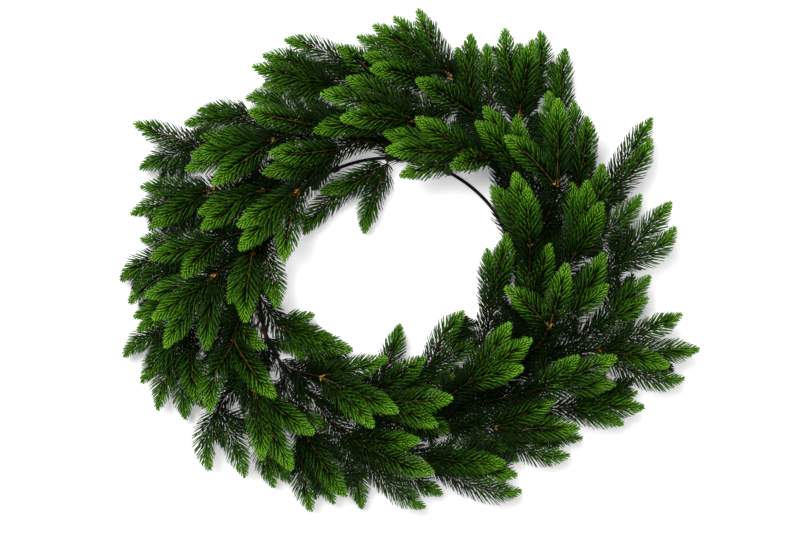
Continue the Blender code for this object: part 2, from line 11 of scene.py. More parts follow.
import bpy
import numpy as np
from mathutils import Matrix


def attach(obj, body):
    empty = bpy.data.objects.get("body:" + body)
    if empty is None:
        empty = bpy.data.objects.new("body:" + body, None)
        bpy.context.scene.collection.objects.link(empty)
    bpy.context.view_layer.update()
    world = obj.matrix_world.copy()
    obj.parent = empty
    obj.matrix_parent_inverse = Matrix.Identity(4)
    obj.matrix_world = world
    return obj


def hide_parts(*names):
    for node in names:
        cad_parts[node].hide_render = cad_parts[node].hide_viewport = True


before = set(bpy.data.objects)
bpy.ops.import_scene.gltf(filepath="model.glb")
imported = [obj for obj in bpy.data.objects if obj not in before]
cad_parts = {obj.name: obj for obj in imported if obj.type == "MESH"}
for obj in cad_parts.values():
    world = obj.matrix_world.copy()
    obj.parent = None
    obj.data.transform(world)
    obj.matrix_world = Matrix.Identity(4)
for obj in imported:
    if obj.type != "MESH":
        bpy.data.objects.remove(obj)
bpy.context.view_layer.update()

# The ring, the wound tails on it, and the twigs' own lines
RING_DIAMETER = 0.250
RING_WIRE_RADIUS = 0.0018
RING_HEIGHT = 0.0040
RING_SIDES = 6
COLLAR_HALF = 0.0040
COLLAR_LENGTH = 0.0084
RING_CLEARANCE = 0.00045
BORE_HALF = RING_WIRE_RADIUS * math.cos(math.pi / RING_SIDES) + RING_CLEARANCE
TIE_RISE = (COLLAR_HALF + BORE_HALF) / 2
STEM_RADIUS = 0.0017
SAMPLE_SPACING = 0.003
CURVE_STEPS = 24

# How far twigs of different sprays keep apart where one passes over another
TWIG_APART = 0.0050
TWIG_NEAR = 0.0050
LOWEST_TWIG = 0.012
OVER_RING = 0.0122
RING_MARGIN = 0.0015
TAIL_LENGTH = 0.024
FREE_FROM = 0.012
HEIGHT_ROUNDS = 300
SIDEWAYS_ROUNDS = 120
ROUNDS_PER_SEARCH = 10
SEARCH_MARGIN = 0.002
SPREAD_SAMPLES = 5
SPREAD_KERNEL = np.convolve(np.ones(SPREAD_SAMPLES), np.ones(SPREAD_SAMPLES)) / SPREAD_SAMPLES**2

# The picture, in its pixels: its width, the ring's centre line, the middle of the view, and the
# place that the origin lies under. A pixel's real size follows from the ring.
PICTURE_WIDTH = 800.0
PICTURE_RING_CENTRE = (389.0, 289.0)
PICTURE_RING_DIAMETER = 262.0
PICTURE_MIDDLE = (400.0, 266.5)
PICTURE_ORIGIN = (404.8, 262.5)
PIXEL = RING_DIAMETER / PICTURE_RING_DIAMETER
VIEW_HEIGHT = 1.5
SENSOR_WIDTH = 36.0

# Heights of the layers that the fingers lie in, the share of its fingers' height at which a stem
# forks, the step along the stem between its fingers' roots, how steeply it leaves its tie, and how
# much fingers bend towards it
LAYERS = {"L": 0.018, "L+": 0.028, "M-": 0.036, "M": 0.045, "M+": 0.054, "T-": 0.064, "T": 0.075}
FORK_SHARE = 0.80
FORK_STAGGER = 1
STEM_CLIMB = 0.35
FIRST_BEND = 1.0
FINGER_BEND = 0.25

# Each spray: the angle of its tie on the ring in degrees, the points that its stem runs through
# up to its fork, and its fingertips, all as pixels of the picture. A fingertip has its layer, then
# the share of the stem at which its finger leaves it, or 0 for one that starts at the fork, and
# last, for a bent finger, a point that it runs through.
Spray = namedtuple("Spray", "tie stem fingers")
SPRAYS = (
    Spray(114, [(310, 137), (271, 140)], [(186, 170, "M"), (192, 156, "M+"), (201, 137, "M"),
                                          (213, 184, "T")]),
    Spray(120, [(252, 117)], [(185, 124, "L+"), (198, 111, "L", 0, 226, 112)]),
    Spray(126, [(200, 146)], [(134, 123, "M"), (140, 169, "L")]),
    Spray(132, [(262, 190)], [(202, 229, "M+"), (199, 213, "M"), (216, 243, "L")]),
    Spray(138, [(211, 190)], [(131, 214, "M-"), (152, 227, "M"), (141, 187, "L")]),
    Spray(144, [(215, 240)], [(184, 277, "T"), (150, 258, "M"), (141, 239, "L")]),
    Spray(150, [(252, 255)], [(245, 322, "T"), (229, 303, "M"), (277, 307, "M+", 0.5, 272, 274)]),
    Spray(156, [(212, 277)], [(153, 319, "T"), (165, 347, "T"), (207, 350, "M"), (146, 296, "M+")]),
    Spray(162, [(187, 257)], [(121, 281, "L", 0, 150, 261), (129, 303, "L+")]),
    Spray(168, [(240, 318), (233, 342)], [(210, 413, "T", 0, 217, 370), (275, 397, "T"),
                                          (264, 348, "M", 0.75), (240, 392, "L")]),
    Spray(174, [(185, 298)], [(134, 317, "M-"), (138, 331, "M-")]),
    Spray(180, [(264, 303), (286, 331)], [(352, 350, "M-"), (334, 338, "L+"), (314, 314, "L"),
                                          (345, 367, "L"), (304, 362, "L")]),
    Spray(186, [(186, 327)], [(124, 357, "L", 0, 148, 337), (142, 383, "L+"), (158, 410, "L+")]),
    Spray(192, [(190, 348)], [(199, 402, "M"), (186, 419, "L")]),
    Spray(198, [(255, 393)], [(292, 470, "T"), (262, 460, "T"), (314, 433, "T")]),
    Spray(204, [(218, 408)], [(210, 470, "M-", 0, 206, 438), (245, 477, "M-", 0, 234, 443)]),
    Spray(210, [(323, 378)], [(398, 412, "T"), (373, 427, "T"), (387, 358, "M")]),
    Spray(216, [(262, 440)], [(274, 487, "L"), (290, 482, "L")]),
    Spray(222, [(303, 432)], [(346, 496, "M+"), (312, 511, "L+", 0, 302, 470), (334, 503, "L"),
                              (328, 428, "L", 0.6)]),
    Spray(228, [(378, 390)], [(425, 357, "M"), (400, 324, "L"), (454, 377, "L")]),
    Spray(234, [(350, 442)], [(419, 440, "M+"), (433, 472, "T"), (442, 494, "L"),
                              (425, 507, "L+", 0, 390, 484), (362, 508, "L")]),
    Spray(240, [(383, 402)], [(452, 398, "T"), (437, 426, "T-"), (450, 432, "L")]),
    Spray(246, [(429, 371)], [(464, 312, "M-", 0, 444, 336), (479, 341, "L")]),
    Spray(252, [(428, 459)], [(505, 463, "M+"), (517, 475, "M"), (521, 491, "L+", 0, 476, 486),
                              (486, 446, "L")]),
    Spray(264, [(498, 428)], [(579, 428, "M+"), (555, 398, "M"), (582, 438, "L"),
                              (569, 455, "L+", 0, 528, 450), (518, 461, "L", 0.6)]),
    Spray(270, [(471, 381)], [(510, 323, "T-"), (531, 339, "T"), (523, 368, "T")]),
    Spray(282, [(570, 408)], [(637, 392, "L"), (644, 407, "M-"), (623, 424, "L+")]),
    Spray(288, [(543, 388)], [(578, 356, "T-"), (616, 357, "T"), (615, 384, "M")]),
    Spray(294, [(491, 314)], [(487, 249, "L+"), (508, 233, "M")]),
    Spray(300, [(602, 349)], [(682, 314, "M"), (699, 349, "M-", 0, 655, 351), (669, 366, "M+"),
                              (684, 378, "L+", 0, 645, 376)]),
    Spray(306, [(588, 335)], [(650, 276, "M-"), (648, 298, "M-")]),
    Spray(312, [(550, 325)], [(567, 264, "T"), (505, 288, "T")]),
    Spray(318, [(570, 318)], [(604, 253, "M+"), (608, 285, "M+")]),
    Spray(324, [(533, 300)], [(550, 244, "M"), (520, 262, "M-")]),
    Spray(330, [(612, 266)], [(671, 202, "M", 0, 640, 238), (675, 227, "M", 0, 650, 253)]),
    Spray(336, [(530, 243)], [(515, 173, "T"), (527, 188, "T"), (491, 186, "M")]),
    Spray(342, [(598, 207)], [(652, 118, "M-", 0, 628, 156), (651, 139, "M", 0, 631, 172),
                              (602, 164, "M")]),
    Spray(347, [(578, 250)], [(571, 183, "M"), (587, 181, "M+"), (602, 203, "T-"),
                              (641, 195, "M-", 0, 615, 224)]),
    Spray(352, [(560, 225), (578, 185)], [(587, 117, "M+", 0, 585, 148), (573, 101, "L+"),
                                          (594, 154, "L")]),
    Spray(357, [(562, 112)], [(566, 49, "L+", 0, 561, 85), (551, 62, "L")]),
    Spray(2, [(557, 181)], [(558, 99, "T"), (505, 137, "T"), (548, 92, "M")]),
    Spray(7.5, [(532, 190), (519, 113)], [(505, 29, "T-", 0, 509, 65), (533, 40, "T-"),
                                          (540, 31, "M-", 0, 538, 68), (520, 44, "L")]),
    Spray(13, [(520, 168)], [(484, 107, "M"), (476, 122, "M+"), (518, 115, "M")]),
    Spray(18.5, [(512, 188), (492, 138), (474, 112)], [(417, 80, "T"), (471, 34, "M-"), (457, 48, "L"),
                                                       (487, 44, "M-", 0.74)]),
    Spray(24, [(500, 166), (474, 153)], [(386, 150, "T"), (400, 176, "M+"), (416, 118, "T"),
                                         (384, 133, "M+"), (452, 167, "T", 0.8)]),
    Spray(63.4, [(472, 105), (449, 75)], [(373, 25, "M+"), (394, 17, "M"), (418, 9, "M")]),
    Spray(67.8, [(433, 82)], [(371, 69, "T"), (364, 55, "M"), (357, 37, "M-"), (390, 92, "L", 0.6)]),
    Spray(72.2, [(412, 119)], [(321, 94, "T", 0, 366, 103), (341, 119, "T"), (346, 79, "M", 0, 380, 94),
                               (314, 131, "M")]),
    Spray(76.6, [(378, 80), (330, 84)], [(337, 47, "M", 0.55, 362, 63), (285, 40, "M-", 0.7, 322, 51),
                                         (253, 66, "M+"), (263, 85, "M-"), (263, 56, "M", 0, 292, 62),
                                         (288, 99, "L")]),
    Spray(81.0, [(361, 126), (310, 124)], [(249, 111, "T"), (246, 99, "L+", 0, 275, 100)]),
    Spray(85.4, [(385, 138), (340, 149), (296, 192)], [(238, 226, "T"), (240, 250, "T"), (284, 262, "T"),
                                                     (270, 153, "T", 0.55), (263, 173, "M", 0.6)]),
    Spray(90, [(387, 168)], [(364, 233, "L", 0, 372, 200), (321, 191, "L+", 0, 352, 181),
                             (304, 234, "L", 0, 338, 194)]),
)

# Needles stand in whorls round a twig, each turned by half a step from the one before it
WHORL_NEEDLES = 10
TIP_WHORL_NEEDLES = 7
SHOOT_WHORL_NEEDLES = 6
FEWER_FROM_TIP = 0.014
WHORL_SPACING = 0.0030
TIP_WHORL_SPACING = 0.0025
STEM_WHORL_SPACING = 0.0030
NEEDLE_LENGTH = 0.0195
TIP_NEEDLE_LENGTH = 0.0036
NEEDLE_GROWTH = 0.50
NEEDLE_WIDTH = 0.00118
NEEDLE_THICKNESS = 0.00100
NEEDLE_SECTION = np.array([(1, -0.5), (0, 1), (-1, -0.5)])
NEEDLE_STATIONS = (0.42, 0.90)
NEEDLE_SWELL = (1.0, 0.85)
NEEDLE_LEAN = 46
TIP_LEAN = 33
TUFT_LEAN = 30
LEAN_RANGE = (0.005, 0.060)
CLOSING = 13
TIP_CLOSING = 6
FIRST_NEEDLE = 0.0020
BARE_TAIL = 0.009
BARE_FORK = 0.003
TIP_BARE = 0.0045
TUFT_REACH = TIP_BARE + 1e-6
LOWEST_NEEDLE = 0.0008
WHORL_SAMPLES = 400

# What chance changes: a needle's angle round its twig, its place along it, its lean, length and width
NEEDLE_SEED = 21
TURN_CHANCE = 0.07
PLACE_CHANCE = 0.0002
LEAN_CHANCE = 3
LENGTH_CHANCE = (0.92, 1.05)
WIDTH_CHANCE = (0.9, 1.1)

# The ages that colour needles, from 0 for the oldest to 1 at a fresh tip: how far back the fresh end of a
# finger reaches, the share of its tint that a lowest tip keeps as painted shade, how much darker a needle
# is painted under its twig as painted shade, and a side shoot's tip tone, older growth and painted shade
YOUNG_LENGTH = 0.087
LOWEST_LAYER_SHADE = 0.80
UNDERSIDE_SHADE = 0.22
SHOOT_AGE_AND_SHADE = 0.42

# Where needles leave the top of a twig bare: half the gap's angle near a bright hub and along a twig,
# and the share of the whorls that have the gap
HUB_REACH = 0.006
HUB_GAP = 40
LINE_FROM_TIP = 0.020
LINE_GAP = 15
LINE_SHARE = 0.5
STEM_LINE_SHARE = 0.1

# Low side shoots, that fill the thicket: where they leave the lower twigs, how long they are and how
# they bend, the share of their twig's height over the lowest that they lose, how much room one needs,
# and the gaps seen in the foliage, as pixels of the picture
SHOOT_STEP = 2
SHOOT_FIRST = 3
SHOOT_LENGTHS = (0.034, 0.026)
SHOOT_TURN = 48
SHOOT_DIP = 0.3
SHOOT_SWEEP = 0.5
SHOOT_HEIGHT = 0.0125
SHOOT_FALL = 0.55
SHOOT_BELOW = 0.052
SHOOT_ROOM = 0.0058
SHOOT_APART = 0.0034
SHOOT_SURROUND = 0.016
SURROUND_WAYS = 8
SHOOT_NEAR = 0.0115
GAP_ROOM = 0.017
PICTURE_GAPS = ((271, 341), (600, 306), (614, 306), (291, 388), (567, 400), (376, 151), (358, 157))

# Twigs, which end a little inside their tufts, with the ages that colour a stem, the twig of a side
# shoot and a wound tail
TWIG_STEP = 0.0033
TWIG_SIDES = 5
STEM_START_RADIUS = 0.0012
TWIG_RADIUS = 0.00062
TWIG_END_RADIUS = 0.00040
TWIG_CHANCE = (0.9, 1.1)
SOFTENINGS = 3
INTO_TUFT = 0.002
STEM_AGE = -0.6
STEM_END_AGE = -0.25
SHOOT_TWIG_AGE = -0.5
WOUND_AGE = -1.0

# The frayed knots at the forks, what chance changes on their scales, and the ties of the sprays whose
# knots show bright
KNOT_SCALES = 8
KNOT_LENGTH = 0.0052
KNOT_RADIUS = 0.00072
KNOT_LEAN = 58
KNOT_STATIONS = 5
SCALE_TURN = (-0.4, 0.4)
SCALE_LEAN = (0.3, 1.4)
SCALE_ROOT = (-0.4, 0.2)
SCALE_LENGTH = (0.6, 1.2)
SCALE_RADIUS = (0.7, 1.3)
BRIGHT_KNOTS = (2, 7.5, 63.4, 85.4, 114, 138, 156, 180, 198, 210, 264, 300, 312)
BRIGHT_KNOT = (0.8, 1.0)
DIM_KNOT = (0.0, 0.4)

# The windings of the tails, and the ring's round wire
WINDING_WIRE = 0.0007
WINDING_GAP = 0.00015
WINDING_RADIUS = RING_WIRE_RADIUS + WINDING_WIRE + WINDING_GAP
WINDING_TURNS = 5
TURN_STEPS = 9
WIRE_RADIUS = 0.0016
WIRE_SIDES = 12
WIRE_STEPS = 240

# The stage: each light's name, place, side and power
FLOOR_SIZE = 8.0
FLOOR_GAP = 0.0002
FLOOR_GLOW = 0.30
WORLD_LIGHT = 0.10
BACKDROP = 0.85
LIGHTS = (("key", (-0.45, 0.60, 1.8), 1.0, 45.0), ("fill", (0.8, -0.6, 1.7), 1.2, 14.0))


def place(pixel_x, pixel_y, height):
    """The point at a height that the picture shows at a pixel: higher up, it is nearer the view's axis."""
    nearer = 1 - (height - RING_HEIGHT) / VIEW_HEIGHT
    x = PICTURE_MIDDLE[0] - PICTURE_ORIGIN[0] + (pixel_x - PICTURE_MIDDLE[0]) * nearer
    y = PICTURE_ORIGIN[1] - PICTURE_MIDDLE[1] + (PICTURE_MIDDLE[1] - pixel_y) * nearer
    return np.array([x * PIXEL, y * PIXEL, height])


RING_CENTRE = place(*PICTURE_RING_CENTRE, RING_HEIGHT)


def ring_point(degrees):
    """The point of the ring's centre line at an angle."""
    angle = math.radians(degrees)
    return RING_CENTRE + RING_DIAMETER / 2 * np.array([math.cos(angle), math.sin(angle), 0.0])


def ring_heading(degrees):
    """The ring's direction at an angle, counter-clockwise."""
    angle = math.radians(degrees)
    return np.array([-math.sin(angle), math.cos(angle), 0.0])


def unit(vectors):
    """Vectors, one a row, at length 1."""
    return vectors / np.linalg.norm(vectors, axis=-1, keepdims=True)


def curve_through(points, first_heading, last_heading):
    """Evenly spaced points on a smooth curve through the given ones.

    Each span is a cubic that leaves and arrives along the headings at its ends, at a speed of the
    span's own length; inside, a point's heading is that of the chord between its neighbours.
    """
    points = np.asarray(points, dtype=float)
    headings = np.empty_like(points)
    headings[1:-1] = points[2:] - points[:-2]
    headings[0], headings[-1] = first_heading, last_heading
    headings = unit(headings)
    t = np.linspace(0, 1, CURVE_STEPS, endpoint=False)[:, None]
    spans = []
    for start, end, leave, arrive in zip(points, points[1:], headings, headings[1:]):
        length = np.linalg.norm(end - start)
        spans.append((2 * t**3 - 3 * t**2 + 1) * start + (t**3 - 2 * t**2 + t) * length * leave
                     + (3 * t**2 - 2 * t**3) * end + (t**3 - t**2) * length * arrive)
    return evenly(np.vstack(spans + [points[-1:]]), SAMPLE_SPACING)


def run_along(points):
    """How far along a line of points each one lies."""
    return np.concatenate(([0.0], np.cumsum(np.linalg.norm(np.diff(points, axis=0), axis=1))))


def at(line, run, stations):
    """The points, or any values kept in rows for them, of a line at some distances along it."""
    return np.stack([np.interp(stations, run, column) for column in line.T], axis=1)


def evenly(line, spacing):
    """The same line with its points evenly spaced."""
    run = run_along(line)
    return at(line, run, np.linspace(0, run[-1], max(4, round(run[-1] / spacing)) + 1))


def finger_curve(root, along, finger, bend):
    """A finger's points: it leaves bent towards its stem's heading, and curves on to its tip."""
    tip = place(finger[0], finger[1], LAYERS[finger[2]])
    points = [root, tip]
    if len(finger) > 4:
        points.insert(1, place(finger[4], finger[5], (root[2] + tip[2]) / 2))
    first, last = unit(points[1] - root), unit(tip - points[-2])
    arrive = 2 * last - first if len(finger) > 4 else last - FINGER_BEND * along
    return curve_through(points, bend * along + first, arrive)


def lay_out_spray(spray):
    """The stem's points from its tie to its fork, and each finger's root on the stem and its points.

    The finger that the stem points at best, the first of the list, goes on from the stem's end. The
    others leave the stem one after the other before it.
    """
    tips = [place(x, y, LAYERS[layer]) for x, y, layer, *_ in spray.fingers]
    fork_height = max(FORK_SHARE * np.mean([tip[2] for tip in tips]), LOWEST_TWIG)
    tie = ring_point(spray.tie) + np.array([0, 0, TIE_RISE])
    share = np.linspace(0, 1, len(spray.stem) + 1)[1:]
    heights = tie[2] + (fork_height - tie[2]) * share
    points = [tie] + [place(x, y, height) for (x, y), height in zip(spray.stem, heights)]
    leave = ring_heading(spray.tie) + np.array([0, 0, STEM_CLIMB])
    arrive = unit(points[-1] - points[-2]) + unit(np.mean(tips, axis=0) - points[-1])
    stem = curve_through(points, leave, arrive)
    last = len(stem) - 1
    heading = unit(stem[last] - stem[last - 1])
    early = [len(finger) > 3 and finger[3] > 0 for finger in spray.fingers]
    order = sorted(range(len(tips)), key=lambda k: (early[k], -unit(tips[k] - stem[last]) @ heading))
    fingers = []
    for turn, k in enumerate(order):
        root = round(spray.fingers[k][3] * last) if early[k] else last - FORK_STAGGER * turn
        along = unit(stem[root] - stem[root - 1])
        bend = FINGER_BEND if turn else FIRST_BEND
        fingers.append((root, finger_curve(stem[root], along, spray.fingers[k], bend)))
    return stem, fingers


class Layout:
    """All twigs as one list of points, with the lines of point numbers that run from tie to tip."""

    def __init__(self, sprays):
        self.points, self.spray_of, self.branch_of, self.run_of = [], [], [], []
        self.stems, self.fingers = [], []
        self.branches = 0
        for number, spray in enumerate(sprays):
            stem, fingers = lay_out_spray(spray)
            run = run_along(stem)
            stem_ids = self.add(stem, number, run)
            self.stems.append(stem_ids)
            rows = []
            for root, points in fingers:
                ids = self.add(points[1:], number, run[root] + np.arange(1, len(points)) * SAMPLE_SPACING)
                rows.append((root, np.concatenate((stem_ids[root:root + 1], ids))))
            self.fingers.append(rows)
        self.points = np.vstack(self.points)
        self.spray_of = np.concatenate(self.spray_of)
        self.branch_of = np.concatenate(self.branch_of)
        self.run_of = np.concatenate(self.run_of)
        self.lines = [np.concatenate((stem[:root], ids))
                      for stem, rows in zip(self.stems, self.fingers) for root, ids in rows]
        self.part_in_height()
        self.part_all_ways()

    def add(self, points, number, run):
        """Append a branch's points and return their numbers."""
        first = sum(len(group) for group in self.points)
        self.points.append(points)
        self.spray_of.append(np.full(len(points), number))
        self.branch_of.append(np.full(len(points), self.branches))
        self.run_of.append(run)
        self.branches += 1
        return np.arange(first, first + len(points))

    def near_pairs(self, near):
        """Pairs of points of different sprays that are this near each other in plan."""
        first, second = [], []
        for number in range(len(self.stems)):
            mine = np.flatnonzero(self.spray_of == number)
            later = np.flatnonzero(self.spray_of > number)
            gap = np.hypot(self.points[mine, 0][:, None] - self.points[later, 0],
                           self.points[mine, 1][:, None] - self.points[later, 1])
            a, b = np.nonzero(gap < near)
            first.append(mine[a])
            second.append(later[b])
        return np.concatenate(first), np.concatenate(second)

    def lowest(self):
        """The lowest that each point may lie: clear of the surface, and of the ring and its collars."""
        reach = np.hypot(self.points[:, 0] - RING_CENTRE[0], self.points[:, 1] - RING_CENTRE[1])
        over_ring = np.abs(reach - RING_DIAMETER / 2) < COLLAR_HALF + STEM_RADIUS + RING_MARGIN
        lowest = np.where(over_ring, OVER_RING, LOWEST_TWIG)
        return np.where(self.run_of < COLLAR_LENGTH, RING_HEIGHT + TIE_RISE, lowest)

    def spread(self, move):
        """A move of some points shared with their neighbours along each twig, and held at its tie."""
        total, shares = np.zeros_like(move), np.zeros(len(move))
        for line in self.lines:
            padded = np.pad(move[line], SPREAD_SAMPLES - 1, mode="edge")
            total[line] += np.convolve(padded, SPREAD_KERNEL, mode="valid")
            shares[line] += 1
        return np.clip(self.run_of / FREE_FROM, 0, 1) * total / shares

    def shared_push(self, first, second, push):
        """The mean push that each point gets: one way on the first of each pair, back on the second."""
        size = len(self.points)
        pushed = push != 0
        count = np.bincount(first[pushed], minlength=size) + np.bincount(second[pushed], minlength=size)
        move = np.bincount(first, weights=push, minlength=size)
        move -= np.bincount(second, weights=push, minlength=size)
        return move / np.maximum(count, 1)

    def part_in_height(self):
        """Part the twigs in height where one spray's pass over another's.

        Two branches keep the order that they start in, and near a tie the one that comes from
        further back passes over. Each point that is too close takes half of what is missing.
        """
        first, second = self.near_pairs(TWIG_NEAR)
        heights = self.points[:, 2]
        pair = self.branch_of[first] * self.branches + self.branch_of[second]
        _, pair = np.unique(pair, return_inverse=True)
        near_tie = np.minimum(self.run_of[first], self.run_of[second]) < TAIL_LENGTH
        ahead = np.bincount(pair, weights=near_tie * (self.run_of[first] - self.run_of[second]))
        above = np.bincount(pair, weights=heights[first] - heights[second])
        above = np.sign(np.where(ahead == 0, above, ahead))
        above = np.where(above == 0, 1.0, above)[pair]
        lowest = self.lowest()
        for _ in range(HEIGHT_ROUNDS):
            missing = np.clip(TWIG_APART - above * (heights[first] - heights[second]), 0, None)
            move = self.shared_push(first, second, 0.5 * above * missing)
            heights += self.spread(move + np.clip(lowest - heights - move, 0, None))

    def part_all_ways(self):
        """Push twigs that are still too close straight away from each other."""
        for turn in range(SIDEWAYS_ROUNDS):
            if turn % ROUNDS_PER_SEARCH == 0:
                first, second = self.near_pairs(TWIG_NEAR + SEARCH_MARGIN)
                lowest = self.lowest()
            apart = self.points[first] - self.points[second]
            gap = np.linalg.norm(apart, axis=1)
            missing = np.clip(TWIG_APART - gap, 0, None) / gap
            for axis in range(3):
                move = self.shared_push(first, second, 0.5 * missing * apart[:, axis])
                if axis == 2:
                    move += np.clip(lowest - self.points[:, 2] - move, 0, None)
                self.points[:, axis] += self.spread(move)


def smooth_step(values, low, high):
    """0 below low, 1 above high, and between them a share x as 3x^2 - 2x^3."""
    share = np.clip((values - low) / (high - low), 0, 1)
    return share * share * (3 - 2 * share)


def frames_of(points):
    """Each point's heading, the level direction across it, and the one square to both, upwards."""
    heading = unit(np.gradient(points, axis=0))
    side = unit(np.cross(heading, (0.0, 0.0, 1.0)))
    return heading, side, np.cross(side, heading)


def tube(line, radii, side, sides):
    """A round profile carried along a line: (points, triangles).

    Station i's ring holds the points p_i + r_i (cos a side_i + sin a up_i) for evenly spaced angles
    a, with up square to the line and to side, and one point at each end closes the tube.
    """
    up = np.cross(side, unit(np.gradient(line, axis=0)))
    angles = np.linspace(0, 2 * math.pi, sides, endpoint=False)[:, None]
    ring = np.cos(angles) * side[:, None] + np.sin(angles) * up[:, None]
    rings = line[:, None] + radii[:, None, None] * ring
    corners = np.vstack((rings.reshape(-1, 3), line[:1], line[-1:]))
    turn, onward = np.arange(sides), (np.arange(sides) + 1) % sides
    first = np.arange(len(line) - 1)[:, None] * sides
    here, following = first + turn, first + onward
    last = (len(line) - 1) * sides
    ends = np.full(sides, len(line) * sides)
    parts = [np.stack((following, here, here + sides), axis=-1),
             np.stack((following + sides, following, here + sides), axis=-1),
             np.stack((onward, ends, turn), axis=-1),
             np.stack((last + onward, last + turn, ends + 1), axis=-1)]
    return corners, np.vstack([part.reshape(-1, 3) for part in parts])


def needle_bodies(roots, heading, outward, lean, closing, length, width):
    """Closed needles, one from each root: (points, triangles).

    A needle's middle line is the curve root + L (2 t (1-t) m + t^2 e): it sets out leaning by
    lean + closing from its twig's heading and ends leaning by lean - closing. A three-sided section
    with its ridge on the outer side is carried along it, and a point at each end closes it.
    """
    side = unit(np.cross(heading, outward))
    leave, arrive = lean + closing, lean - closing
    start_way = np.cos(leave)[:, None] * heading + np.sin(leave)[:, None] * outward
    end_way = np.cos(arrive)[:, None] * heading + np.sin(arrive)[:, None] * outward
    t = np.array((0.0, *NEEDLE_STATIONS, 1.0))[None, :, None]
    middle = 0.5 * start_way[:, None]
    end = middle + 0.5 * end_way[:, None]
    line = roots[:, None] + length[:, None, None] * (2 * t * (1 - t) * middle + t * t * end)
    way = unit((1 - t) * start_way[:, None] + t * end_way[:, None])
    thick_way = np.cross(side[:, None], way)
    swell = np.array(NEEDLE_SWELL)[None, :, None, None] * width[:, None, None, None] / 2
    flat = NEEDLE_THICKNESS / NEEDLE_WIDTH
    across, ridge = NEEDLE_SECTION[:, :1], flat * NEEDLE_SECTION[:, 1:]
    ring = across * side[:, None, None] + ridge * thick_way[:, 1:-1, None]
    rings = line[:, 1:-1, None] + swell * ring
    count = len(roots)
    corners = np.concatenate((line[:, :1], rings.reshape(count, -1, 3), line[:, -1:]), axis=1)
    return corners, needle_faces(count)


def needle_faces(count):
    """The triangles of many needles, each with its two end points and the rings between them."""
    sides, rings = len(NEEDLE_SECTION), len(NEEDLE_STATIONS)
    turn, onward = 1 + np.arange(sides), 1 + (np.arange(sides) + 1) % sides
    faces = [np.stack((onward, np.zeros(sides, int), turn), axis=1)]
    for ring in range(rings - 1):
        here, beyond = ring * sides, (ring + 1) * sides
        faces.append(np.stack((here + onward, here + turn, beyond + turn), axis=1))
        faces.append(np.stack((beyond + onward, here + onward, beyond + turn), axis=1))
    last = (rings - 1) * sides
    faces.append(np.stack((last + onward, last + turn, np.full(sides, 1 + rings * sides)), axis=1))
    one = np.vstack(faces)
    stride = 2 + rings * sides
    return (one[None] + stride * np.arange(count)[:, None, None]).reshape(-1, 3)


def needles_of_twig(line, whorls, age, from_tip, from_hub, bare_share, most, draws):
    """Whorls of needles at distances along a twig: (points, triangles, each point's place).

    A whorl has so many needles at the most, and fewer near the tip, where they lean further forward and
    are shorter. None stands on top of a twig where its hub shows, nor in a share of the whorls where its
    line shows. A needle's place is its twig's age there, painted darker below than above as painted shade,
    the share along the needle, and a random number of its own.
    """
    order = np.arange(most)
    in_whorl = np.where(from_tip < FEWER_FROM_TIP, np.minimum(TIP_WHORL_NEEDLES, most), most)[:, None]
    turn = np.arange(len(whorls))[:, None] % 2 / 2 + order
    around = 2 * math.pi * (turn + 0.25) / in_whorl
    bare = (from_tip > LINE_FROM_TIP) & (draws.uniform(0, 1, len(whorls)) < bare_share)
    gap = np.where(bare, LINE_GAP, 0)
    gap = np.radians(np.where(from_hub < HUB_REACH, HUB_GAP, gap))[:, None]
    kept = (order < in_whorl) & (np.sin(around) <= np.cos(gap) + 1e-9)
    around, count = around[kept], np.count_nonzero(kept)
    around = around + draws.uniform(-TURN_CHANCE, TURN_CHANCE, count)
    whorls, age, from_tip = [np.broadcast_to(values[:, None], kept.shape)[kept]
                             for values in (whorls, age, from_tip)]
    stations = whorls + draws.uniform(-PLACE_CHANCE, PLACE_CHANCE, count)
    run = run_along(line)
    heading, side, up = frames_of(line)
    root = at(line, run, stations)
    heading = unit(at(heading, run, stations))
    side, up = unit(at(side, run, stations)), unit(at(up, run, stations))
    outward = np.cos(around)[:, None] * side + np.sin(around)[:, None] * up
    near_tip = 1 - smooth_step(from_tip, *LEAN_RANGE)
    lean = NEEDLE_LEAN - (NEEDLE_LEAN - TIP_LEAN) * near_tip
    lean = np.where(from_tip < TUFT_REACH, TUFT_LEAN * np.sqrt(draws.uniform(0, 1, count)), lean)
    lean = np.radians(lean + draws.uniform(-LEAN_CHANCE, LEAN_CHANCE, count))
    closing = np.radians(CLOSING - (CLOSING - TIP_CLOSING) * near_tip)
    length = np.minimum(NEEDLE_LENGTH, TIP_NEEDLE_LENGTH + NEEDLE_GROWTH * from_tip)
    length = length * draws.uniform(*LENGTH_CHANCE, count)
    width = NEEDLE_WIDTH * draws.uniform(*WIDTH_CHANCE, count)
    corners, faces = needle_bodies(root, heading, outward, lean, closing, length, width)
    corners[..., 2] = np.maximum(corners[..., 2], LOWEST_NEEDLE)
    along = np.concatenate(([0.0], np.repeat(NEEDLE_STATIONS, len(NEEDLE_SECTION)), [1.0]))
    where = np.empty(corners.shape)
    # Painted shade: a needle that points down under its twig is coloured darker.
    where[..., 0] = (age - UNDERSIDE_SHADE * (1 - np.sin(around)) / 2)[:, None]
    where[..., 1] = along
    where[..., 2] = draws.uniform(0, 1, count)[:, None]
    return corners.reshape(-1, 3), faces, where.reshape(-1, 3)


def gathered(parts):
    """Several (points, triangles, places) as one."""
    firsts = np.cumsum([0] + [len(points) for points, _, _ in parts])
    return (np.vstack([points for points, _, _ in parts]),
            np.vstack([faces + first for (_, faces, _), first in zip(parts, firsts)]),
            np.vstack([where for _, _, where in parts]))


def shown(name, data):
    """A new object of the scene that holds a mesh, a light or a camera."""
    thing = bpy.data.objects.new(name, data)
    bpy.context.scene.collection.objects.link(thing)
    return thing


